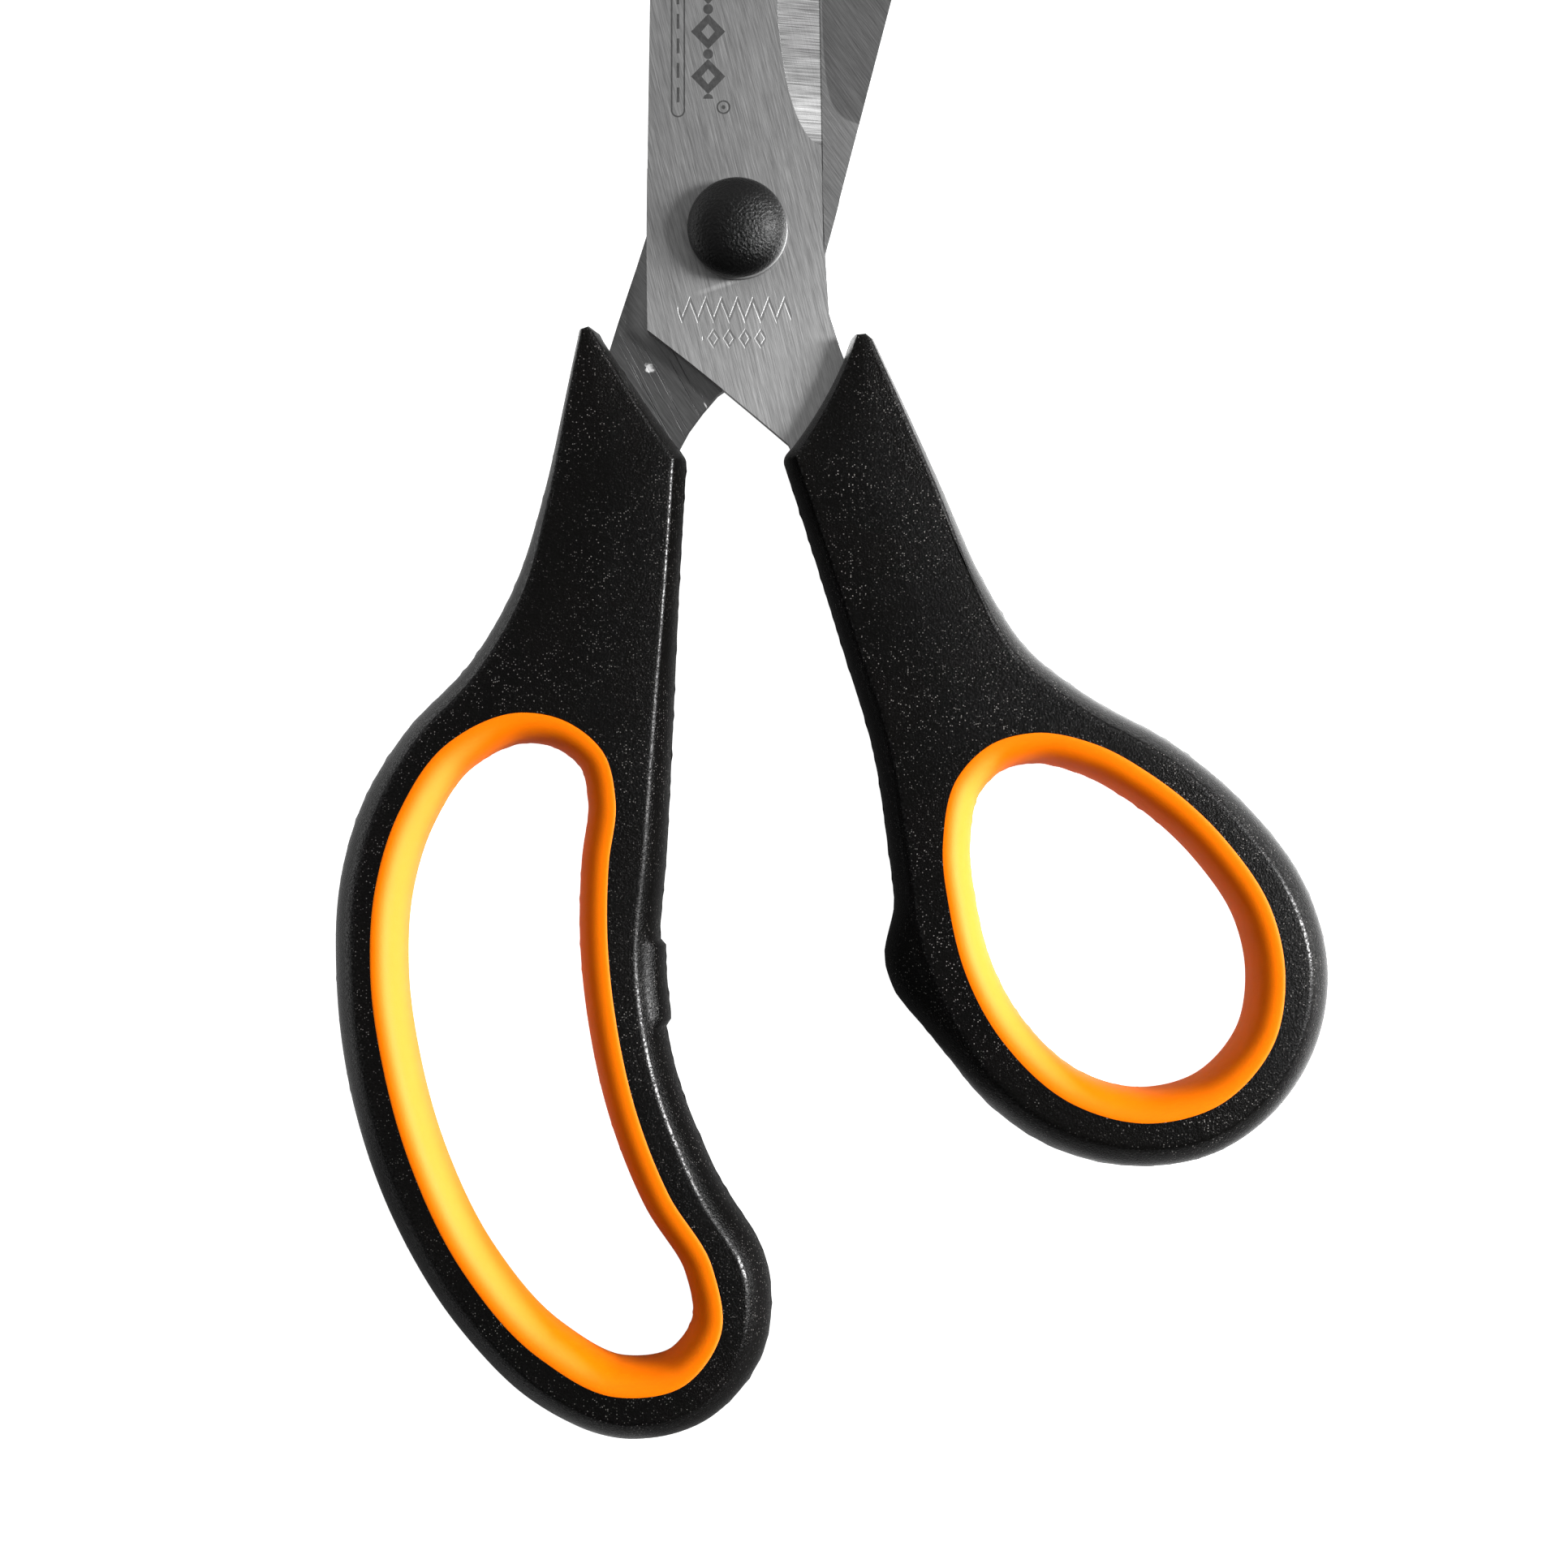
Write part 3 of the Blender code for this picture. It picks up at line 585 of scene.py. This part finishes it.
def handle(name, crease, seat, bumps, angle, material, body):
    """A moulding. Side: the face's edge pushed out by its inset along a cosine, rising along a sine
    to the face. Crease: a quadratic curve between the two. Face: from its edge to the liner's seat,
    crowned by distance from the edge. The back is the front, mirrored."""
    loop, corners = crease
    edge, normal = fanned(loop, corners)
    inset = edge[:, 2:3]
    angles = np.linspace(0, SIDE_TOP, SIDE_ROWS)
    out = (np.cos(angles) - math.cos(SIDE_TOP)) / (1 - math.cos(SIDE_TOP))
    rise = np.sin(angles) / math.sin(SIDE_TOP) * (HALF_THICK - CROWN_RISE)
    travelled = np.concatenate(
        [[0.0], np.cumsum(np.linalg.norm(np.diff(edge[:, :2], axis=0), axis=1))]
    )
    rows = []
    for share, height in zip(out, rise):
        push = inset * share
        for bump in bumps:
            push = push + bump(travelled, edge, height)[:, None]
        if height == 0:
            push = push + flash(travelled)[:, None]
        flat = edge[:, :2] + normal * push
        rows.append(np.column_stack([flat, np.full(len(edge), height)]))
    slope = rows[-1] - rows[-2]
    slope = slope / np.linalg.norm(slope, axis=1)[:, None]
    top = rows.pop()
    inner = top.copy()
    inner[:, :2] -= normal * CREASE_ROUND
    start = top - slope * CREASE_ROUND
    for t in (0.0, 0.25, 0.5, 0.75):
        rows.append(start * (1 - t) ** 2 + top * 2 * t * (1 - t) + inner * t**2)
    target = seat_match(inner, seat)
    near_edge = [0.0, 0.01, 0.03, 0.06, 0.1, 0.15]
    for share in [*near_edge, *np.linspace(0.2, 0.94, 14), 0.97, 1.0]:
        flat = inner[:, :2] * (1 - share) + target[:, :2] * share
        away = np.linalg.norm(flat[:, None] - loop[None, :, :2], axis=2).min(axis=1) - CREASE_ROUND
        height = HALF_THICK - CROWN_RISE * np.exp(-np.maximum(away, 0) / CROWN_REACH)
        rows.append(np.column_stack([flat, height]))
    lip = rows[-1].copy()
    lip[:, 2] -= LIP_DROP
    across = target[:, :2] - inner[:, :2]
    lip[:, :2] += LIP_REACH * across / (np.linalg.norm(across, axis=1)[:, None] + 1e-6)
    deep = lip.copy()
    deep[:, 2] = SEAT_FLOOR
    rows += [lip, deep]
    front = np.array(rows)
    back = front[:0:-1].copy()
    back[..., 2] *= -1
    whole = np.concatenate([front, back])
    whole[..., 2] += MIDDLE
    whole = turned_by(whole, angle)
    faces = grid_faces(len(whole), whole.shape[1], wrap_rows=True)
    return piece(name, whole, faces, material, body, sharp=50)


def flash(travelled):
    """The thin ragged edge that the mould leaves at mid thickness, from sines of unlike pitch."""
    ragged = np.sin(travelled * 2.9) + np.sin(travelled * 4.7 + 1.0) + np.sin(travelled * 7.9 + 2.0)
    return 0.05 + 0.035 * ragged.clip(0)


def lug_bump(travelled, edge, height):
    """The thumb handle's closing stop: a lump low on the side wall, steep above and long below."""
    centre = THUMB_BOW + LUG_PLACE
    near = np.linalg.norm(edge[:, :2] - centre, axis=1).argmin()
    along = travelled - travelled[near]
    places = [-11.5, -8.5, -5.6, -3.4, -1.2, 0.4, 1.8, 3.2, 4.8]
    profile = np.interp(along, places, [0, 0.45, 1.15, 1.95, 2.1, 1.9, 1.2, 0.35, 0.0])
    window = np.hanning(7)
    smooth = np.convolve(np.pad(profile, 2, "edge"), window[1:-1] / window.sum(), "valid")
    return smooth * np.clip(1 - (height / LUG_TOP) ** 2, 0, 1)


def pad_bump(travelled, edge, height):
    """The finger handle's closing stop: a flat raised patch with crisp ends."""
    centre = FINGER_BOW + PAD_PLACE
    near = np.linalg.norm(edge[:, :2] - centre, axis=1).argmin()
    along = np.abs(travelled - travelled[near])
    ends = np.clip((PAD_HALF_LENGTH - along) / 0.7, 0, 1)
    fade = np.clip((PAD_TOP - height) / 0.5, 0, 1)
    return PAD_RISE * ends * fade


thumb_seat = curve_through(moved(THUMB_SEAT, THUMB_BOW), closed=True, spacing=0.6)
finger_seat = curve_through(moved(FINGER_SEAT, FINGER_BOW), closed=True, spacing=0.6)
thumb_bow = moved(THUMB_BOW_OUTLINE, THUMB_BOW)
finger_bow = moved(FINGER_BOW_OUTLINE, FINGER_BOW)
thumb_edge = crease_loop(THUMB_TIP, THUMB_OUTER, thumb_bow, THUMB_INNER, 0.55)
finger_edge = crease_loop(FINGER_TIP, FINGER_OUTER, finger_bow, FINGER_INNER, 0.15)

thumb_shell = handle(
    "thumb_moulding", thumb_edge, thumb_seat, [lug_bump], 0.0, THUMB_BLACK, "thumb_half"
)
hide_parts("thumb_handle")
finger_shell = handle(
    "finger_moulding", finger_edge, finger_seat, [pad_bump], -REST_OPENING,
    FINGER_BLACK, "finger_half",
)
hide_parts("finger_handle")


# ---------------------------------------------------------------- liners

LINER_WIDTH = 2.9
LINER_SINK = 0.12
SEAT_OVERLAP = 0.25
WALL_DROP = 0.15
SQUARENESS = 2.5


def liner(name, seat, angle, body, node):
    """A soft ring: inwards by the width times a squared-off cosine, up by half the depth times the
    matching sine, and a flat wall against the handle."""
    half = HALF_THICK - LINER_SINK
    step = -outward(seat)
    turn = np.radians(np.linspace(-90, 90, 41))
    power = 2 / SQUARENESS
    inwards = LINER_WIDTH * np.cos(turn).clip(0) ** power
    up = half * np.sign(np.sin(turn)) * np.abs(np.sin(turn)) ** power
    inwards = np.concatenate([inwards, [-SEAT_OVERLAP, -SEAT_OVERLAP]])
    along = np.concatenate([[0.0], np.cumsum(np.linalg.norm(np.diff(seat[:, :2], axis=0), axis=1))])
    ragged = np.zeros((len(inwards), len(seat)))
    ragged[len(turn) // 2] = flash(along) * 0.8
    up = np.concatenate([up, [half - WALL_DROP, WALL_DROP - half]])
    flat = seat[None, :, :2] + step[None] * (inwards[:, None] + ragged)[..., None]
    height = np.broadcast_to((MIDDLE + up)[:, None, None], flat.shape[:2] + (1,))
    whole = turned_by(np.concatenate([flat, height], axis=2), angle)
    faces = grid_faces(len(whole), whole.shape[1], wrap_rows=True)
    made = piece(name, whole, faces, ORANGE, body, sharp=55)
    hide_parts(node)


liner("thumb_soft_ring", thumb_seat, 0.0, "thumb_half", "thumb_liner")
liner("finger_soft_ring", finger_seat, -REST_OPENING, "finger_half", "finger_liner")


# ---------------------------------------------------------------- blades

CHAIN_X = -2.85
CHAIN_MIDDLE = 34.8
CHAIN_HALF_LENGTH = 22.0
CHAIN_PITCH = 4.4
RING_X = -5.8
RING_MIDDLE = 34.2
RING_HALF_LENGTH = 22.5
RING_RADIUS = 0.62
STITCH_PITCH = 2.4
TARGET_AT = (-1.35, 12.0)
STRUCK_PITCH = 1.54
ZIGZAG_Y = -7.85
ZIGZAG_HEIGHT = 2.0
DIAMOND_Y = -10.65
# Where the painted highlight streak passes under the pivot
HIGHLIGHT_STREAK_Y = -4.95
EDGE_AT_PIVOT = 8.492  # the right edge of the front blade's plate, and its lean along the blade
EDGE_LEAN = -0.016
NICK_AT = (-8.75, -13.3)


def repeated(value, pitch):
    """How far a place is from the middle of its repeat, in millimetres."""
    return ((value / pitch).math("FLOORED_MODULO", 1.0) - 0.5) * pitch


def etching(x, y):
    """Dark ornament beside the blade's back: a bold chain of lozenges and dots, a small target, and
    a thin long ring round a running stitch."""
    along = repeated(y - (CHAIN_MIDDLE - CHAIN_HALF_LENGTH), CHAIN_PITCH).size()
    across = (x - CHAIN_X).size()
    lozenge = (along / 1.8 + across / 1.75).step(1.0, 0.94)
    hollow = (along / 0.72 + across / 0.62).step(0.95, 1.1)
    dots = distance(CHAIN_PITCH / 2 - along, across).step(0.56, 0.46)
    chain = (y - CHAIN_MIDDLE).size().step(CHAIN_HALF_LENGTH + 0.05, CHAIN_HALF_LENGTH - 0.05)
    bold = (lozenge * hollow).above(dots) * chain
    ring_x = (x - RING_X).size()
    ring_y = (y - RING_MIDDLE).size()
    off_spine = distance(ring_x, (ring_y - RING_HALF_LENGTH).above(0.0))
    ring = (off_spine - RING_RADIUS).size().step(0.12, 0.06)
    stitch = repeated(y, STITCH_PITCH).size().step(0.8, 0.7) * ring_x.step(0.17, 0.11)
    stitches = stitch * ring_y.step(RING_HALF_LENGTH - 0.6, RING_HALF_LENGTH - 0.7)
    spot = distance(x - TARGET_AT[0], y - TARGET_AT[1])
    target = (spot - 0.6).size().step(0.12, 0.06).above(spot.step(0.25, 0.18))
    return bold.above(ring).above(stitches).above(target)


def stamping(x, y):
    """Struck ornament below the pivot: a zigzag stitch over a shorter row of small lozenges."""
    along = repeated(x, STRUCK_PITCH).size()
    wave = along * (ZIGZAG_HEIGHT * 2 / STRUCK_PITCH) - ZIGZAG_HEIGHT / 2
    zigzag = (y - ZIGZAG_Y - wave).size().step(0.44, 0.16) * (x + 0.25).size().step(5.6, 5.5)
    diamond = along / 0.60 + (y - DIAMOND_Y).size() / 0.95
    row = (diamond - 0.8).size().step(0.30, 0.10) * (x + 0.3).size().step(3.15, 3.05)
    return zigzag.above(row)


def front_marks(made, level, roughness):
    """The front blade: paler towards the handle, a painted reflection, with its etched and struck
    ornaments, a painted highlight streak below the pivot, a dark line of painted shade down the right
    edge of the plate, and the paler strip ground beside the cutting edge, its grinding lines straight
    across, painted paler still towards its pivot end."""
    x, y, z = made.axes(made.place())
    face = z.step(front_high[2] - 0.05, front_high[2] - 0.02)
    worn = made.noise(made.place(), 2.4, 3.0)
    dark = (etching(x, y) * (worn * 0.2 + 0.86)).below(1.0) * face
    dent = stamping(x, y) * face
    # Painted reflection: the tone grows paler towards the handle and a little towards the right.
    painted_reflection_tone = y.step(10.0, -24.0) * 0.13 + x.step(-6.0, 9.0) * 0.02 + 0.212
    # Painted highlight: a short pale streak below the pivot, reflected light painted into the tone.
    painted_highlight_streak = (y - HIGHLIGHT_STREAK_Y - x * 0.33).size().step(0.4, 0.05) * (x + 1.6).size().step(3.0, 0.6)
    tone = level * (painted_reflection_tone + painted_highlight_streak * face * 0.12 - dent * 0.08)
    tone = tone * (1.0 - dark) + dark * 0.03
    across = made.noise(made.place((5.0, 0.12, 5.0)), 1.0, 2.0, 0.6)
    below_face = z.step(front_high[2] - 0.0004, front_high[2] - 0.0015)
    above_back = z.step(front_low[2] + 0.1, front_low[2] + 0.2)
    facet = below_face * above_back * y.step(6.0, 8.0)
    # Painted light: the ground strip's tone rises towards its pivot end, lifting its darker reflection
    # there.
    ground = (across * 0.22 - 0.035) * (y.step(24.0, 8.0) ** 4.0 * 0.9 + 0.47)
    tone = tone * (1.0 - facet) + facet * ground
    # Painted shade: a dark line down the plate's right edge, where the gap to the rear blade lies in
    # shade.
    rim = (y * EDGE_LEAN + EDGE_AT_PIVOT - x).step(0.15, 0.05) * y.step(-3.0, -0.5)
    tone = tone * (1.0 - rim * 0.85)
    return tone, roughness + dark * 0.2 + facet * 0.17, 1.0 - dent


def rear_marks(made, level, roughness):
    """The rear blade: darker to the left, towards the handle, as painted shade; a duller hollow with a
    curved end beyond the pivot; a paler band within 3 mm of the front blade's lower left outline,
    painted light that lifts the shade the front blade casts there; long dark scratches by the handle;
    and a bright nick and a hair line beside it."""
    x, y, _ = made.axes(made.place())
    hollow = ((x - 8.0).above(0.0) * (y - 9.8).above(0.0)).step(3.6, 4.4)
    # Painted light: the rear blade is paler within 3 mm of the front blade's lower left outline, where
    # that blade shades it.
    outside_front = (-9.0 - x).above(x * -0.646 - y * 0.763 - 12.41)
    band = outside_front.step(3.2, 0.0) * x.step(2.0, 0.0)
    # Painted shade: the tone darkens to the left, towards the handle; the factor after it is the
    # painted light band.
    base = (x.step(-4.0, 8.0) * 0.065 + 0.075) * (band * 2.2 + 1.0)
    scratches = made.noise(made.place((0.13, 16.0, 16.0), math.radians(-28)), 1.0, 2.0, 0.5)
    deep = scratches.step(0.64, 0.74) * y.step(-6.0, -11.0)
    nick_x, nick_y = x - NICK_AT[0], y - NICK_AT[1]
    ragged = distance(nick_x, nick_y) + made.noise(made.place(), 2.5, 2.0) * 0.9
    hair = (nick_x + nick_y * 0.55 - 3.6).size().step(0.10, 0.04)
    hair = hair * (nick_y + 4.1).size().step(0.8, 0.6)
    tone = level * (base * (1.0 - hollow) + hollow * 0.069)
    tone = tone * (1.0 - deep * 0.55) + (ragged.step(0.95, 0.7) + hair) * 0.55
    return tone, roughness + hollow * 0.05, 1.0 - deep


FRONT_STEEL = steel("ground_steel_front", math.radians(-16), 0.38, front_marks)
REAR_STEEL = steel("ground_steel_rear", math.radians(-38), 0.42, rear_marks)
WASHER_STEEL = plain_metal("turned_steel_washer", 0.12, 0.42)
RIVET_STEEL = plain_metal("turned_steel_rivet", 0.55, 0.3)

BLADE_REACH = 110.0
BLADE_HALF_WIDTH = 8.8
GRIND_WIDTH = 4.2
GRIND_START = 8.3
GRIND_RUN_OUT = 15.0
EDGE_LAND = 0.45
POINT_BLUNT = 0.05
JOIN_AT = 6.0
PLATE_MERGE_WITHIN = 0.001


def blade_sections(side, taper, inner, outer):
    """Cross-sections of a blade from above the pivot to its point. Half widths are sums of powers of
    the height's share of the reach. The grind drops evenly towards the cutting edge from a line that
    leaves the edge along a quarter of an ellipse."""
    run_out = GRIND_START + GRIND_RUN_OUT * (1 - np.cos(np.linspace(0, math.pi / 2, 26)))
    heights = np.concatenate([[JOIN_AT, 7.4], run_out, np.linspace(25, BLADE_REACH - POINT_BLUNT, 90)])
    share = heights / BLADE_REACH
    edge = BLADE_HALF_WIDTH * (0.965 - 0.20 * share - 0.18 * share**3 - 0.58 * share**9)
    spine = BLADE_HALF_WIDTH * (1.01 - taper * share - (0.44 - taper) * share**3 - 0.55 * share**9)
    grown = np.clip((heights - GRIND_START) / GRIND_RUN_OUT, 0, 1)
    width = GRIND_WIDTH * np.sqrt(1 - (1 - grown) ** 2)
    width = np.minimum(width, 0.92 * (edge + spine))
    slope = (outer - inner) * (1 - EDGE_LAND / abs(outer - inner)) / GRIND_WIDTH
    ground = np.linspace(0, 1, 5)[None, :]
    flat = np.linspace(0, 1, 10)[None, 1:]
    across = np.concatenate(
        [
            edge[:, None] - width[:, None] * ground,
            (edge - width)[:, None] * (1 - flat) - spine[:, None] * flat,
            -spine[:, None],
            edge[:, None],
        ],
        axis=1,
    )
    drop = slope * width[:, None] * (1 - ground)
    level = np.full((len(heights), flat.shape[1]), outer)
    under = np.full((len(heights), 2), inner)
    up = np.concatenate([outer - drop, level, under], axis=1)
    along = np.broadcast_to(heights[:, None], across.shape)
    return np.stack([side * across, along, up], axis=-1)


def blade(name, node, side, taper, faces, angle, material, body):
    """A blade: drawn sections above the pivot, and below them a copy of the plain plate, cut off
    there, closed and merged with them."""
    sections = turned_by(blade_sections(side, taper, *faces), angle)
    rows, columns = sections.shape[:2]
    ends = [range(columns), range((rows - 1) * columns, rows * columns)]
    mesh = bpy.data.meshes.new(name)
    quads = grid_faces(rows, columns).tolist() + [list(end) for end in ends]
    mesh.from_pydata((sections.reshape(-1, 3) * MM).tolist(), [], quads)
    plate = bmesh.new()
    plate.from_mesh(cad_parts[node].data)
    joint = turned_by(np.array([0.0, JOIN_AT, 0.0]), angle) * MM
    along = turned_by(np.array([0.0, 1.0, 0.0]), angle)
    whole = [*plate.verts, *plate.edges, *plate.faces]
    cut = bmesh.ops.bisect_plane(plate, geom=whole, plane_co=joint, plane_no=along, clear_outer=True)
    rim = [item for item in cut["geom_cut"] if isinstance(item, bmesh.types.BMEdge)]
    bmesh.ops.holes_fill(plate, edges=rim)
    plate.from_mesh(mesh)
    bmesh.ops.remove_doubles(plate, verts=plate.verts, dist=PLATE_MERGE_WITHIN * MM)
    bmesh.ops.recalc_face_normals(plate, faces=plate.faces)
    plate.to_mesh(mesh)
    plate.free()
    mesh.polygons.foreach_set("use_smooth", [False] * len(mesh.polygons))
    made = settle(name, mesh, material, body)
    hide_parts(node)


blade(
    "front_steel_blade", "front_blade", 1, 0.18, (front_low[2], front_high[2]), 0.0,
    FRONT_STEEL, "thumb_half",
)
blade(
    "rear_steel_blade", "rear_blade", -1, 0.42, (rear_high[2], rear_low[2]), -REST_OPENING,
    REAR_STEEL, "finger_half",
)


# ---------------------------------------------------------------- pivot

TURNED_STEPS = 128
CAP_SKIRT = 0.55
CAP_WALL = 1.6
CAP_HOLLOW = 1.2
WASHER_BORE = 2.7
WASHER_SHIFT = (0.13, -0.15)
WASHER_TRIM = 0.15


def revolved(name, profile, material, node, centre=(0.0, 0.0)):
    """A profile of (radius, height) points carried round the pivot, or round a centre beside it."""
    angles = np.linspace(0, 2 * math.pi, TURNED_STEPS, endpoint=False)
    rim = np.array(profile, float)
    x = centre[0] + rim[:, :1] * np.cos(angles)
    y = centre[1] + rim[:, :1] * np.sin(angles)
    z = np.broadcast_to(rim[:, 1:], x.shape)
    points = np.stack([x, y, z], axis=-1)
    faces = grid_faces(len(rim), TURNED_STEPS)
    made = piece(name, points, faces, material, "finger_half", sharp=40)
    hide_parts(node)


def dome_profile():
    """A cap: a hollow underside, a rounded skirt, and a dome whose radius falls along a cosine
    raised to 0.9 while its height rises along a sine."""
    radius = (cap_high[0] - cap_low[0]) / 2
    low, high = cap_low[2], cap_high[2]
    angles = np.radians(np.linspace(0, 90, 24))[:-1]
    skirt_top = low + CAP_SKIRT
    dome = [radius * np.cos(angles) ** 0.9, skirt_top + (high - skirt_top) * np.sin(angles)]
    ceiling = low + CAP_HOLLOW
    inside = radius - CAP_WALL
    under = [(0.0, ceiling), (inside, ceiling), (inside, low), (radius - 0.25, low)]
    skirt = [(radius - 0.07, low + 0.08), (radius, low + 0.28)]
    return np.concatenate([under, skirt, np.stack(dome, axis=1), [(0.0, high)]])


revolved("pivot_dome", dome_profile(), CAP_BLACK, "pivot_cap")


def washer_profile():
    """A flat ring with a rounded outer edge, trimmed so that it can lie a little off centre."""
    radius = (washer_high[0] - washer_low[0]) / 2 - WASHER_TRIM
    low, high = washer_low[2], washer_high[2]
    under = [(WASHER_BORE, low), (radius - 0.05, low), (radius, low + 0.05)]
    edge = [(radius, high - 0.08), (radius - 0.02, high - 0.02), (radius - 0.08, high)]
    return under + edge + [(WASHER_BORE, high), (WASHER_BORE, low)]


revolved(
    "pivot_ring", washer_profile(), WASHER_STEEL, "pivot_washer", WASHER_SHIFT
)
for node in ("pivot_rivet", "pivot_pin"):
    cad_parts[node].material_slots[0].material = RIVET_STEEL


# ---------------------------------------------------------------- floor, light, camera

FLOOR_SIZE = 4.0  # metres
FLOOR_GAP = 0.2
ZENITH_GLOW = 0.22
BAND_GLOW = 1.0
HORIZON_GLOW = 0.25
NORTH_LEAN = 0.92
EAST_LEAN = 0.05
KEY_WATTS = 50.0
VIEW_WIDTH = 154.56
VIEW_HEIGHT = 320.0
LOOK_AT = (4.58, -54.27)


def floor():
    """A pale floor that the camera sees as plain white. Two dull patches, beyond the bows and between
    the handles, darken only what the pieces mirror."""
    drop = cad_box[0][2] - FLOOR_GAP * MM
    bpy.ops.mesh.primitive_plane_add(size=FLOOR_SIZE, location=(0.0, 0.0, drop))
    made = bpy.context.object
    made.name = "floor"
    fixed = {"Roughness": 0.9, "Specular IOR Level": 0.2, "Emission Strength": 1.0}
    pale = Shader("pale_floor", fixed)
    cloud = pale.noise(pale.place(), 0.02, 2.0)
    seen = pale.add("ShaderNodeLightPath")
    x, y, _ = pale.axes(pale.place())
    beyond = y.step(-86.0, -98.0) * 0.72
    between = (x - 5.0).size().step(20.0, 12.0) * y.step(-10.0, -25.0) * 0.9
    dull = beyond.above(between)
    pale.feed(
        Base_Color=pale.mix(dull, pale.mix(cloud, grey(0.60), grey(0.62)), grey(0.03)),
        Emission_Color=pale.mix(seen, pale.mix(dull, grey(0.40), grey(0.0)), grey(1.0)),
    )
    made.data.materials.append(pale.material)


def soft_light(name, place, aim, size, watts):
    """A white rectangular lamp at a place, facing what it is aimed at. All in metres."""
    lamp = bpy.data.lights.new(name, "AREA")
    lamp.shape = "RECTANGLE"
    lamp.size, lamp.size_y = size
    lamp.energy = watts
    made = bpy.data.objects.new(name, lamp)
    made.location = place
    made.rotation_euler = (Vector(aim) - Vector(place)).to_track_quat("-Z", "Y").to_euler()
    bpy.context.scene.collection.objects.link(made)


floor()
soft_light("key_right", (0.74, 0.05, 0.52), (0.0, -0.04, 0.0), (0.20, 0.45), KEY_WATTS)

# The world is brightest in a band half way up, and dims overhead, at the horizon and to the south
studio = Shader("studio", kind="worlds", end="Background")
bpy.context.scene.world = studio.material
east, north, up = studio.axes(studio.add("ShaderNodeTexCoord", output="Generated"))
below_roof = up.step(0.97, 0.72) * (BAND_GLOW - ZENITH_GLOW) + ZENITH_GLOW
above_horizon = up.step(0.12, 0.42) * (1 - HORIZON_GLOW) + HORIZON_GLOW
lean = north * NORTH_LEAN + east * EAST_LEAN + 1.0
seen = studio.add("ShaderNodeLightPath")
studio.feed(Strength=below_roof * above_horizon * lean * (1.0 - seen) + seen)
studio.surface.inputs["Color"].default_value = (1.0, 1.0, 1.0, 1.0)

# Straight down from the view's height above mid thickness, with the view's width just in frame there
lens = bpy.data.cameras.new("camera")
lens.sensor_width = 36.0
lens.lens = lens.sensor_width * VIEW_HEIGHT / VIEW_WIDTH
lens.clip_start = 0.01
camera = bpy.data.objects.new("camera", lens)
camera.location = (LOOK_AT[0] * MM, LOOK_AT[1] * MM, (MIDDLE + VIEW_HEIGHT) * MM)
bpy.context.scene.collection.objects.link(camera)
bpy.context.scene.camera = camera
bpy.context.scene.view_settings.view_transform = "Standard"
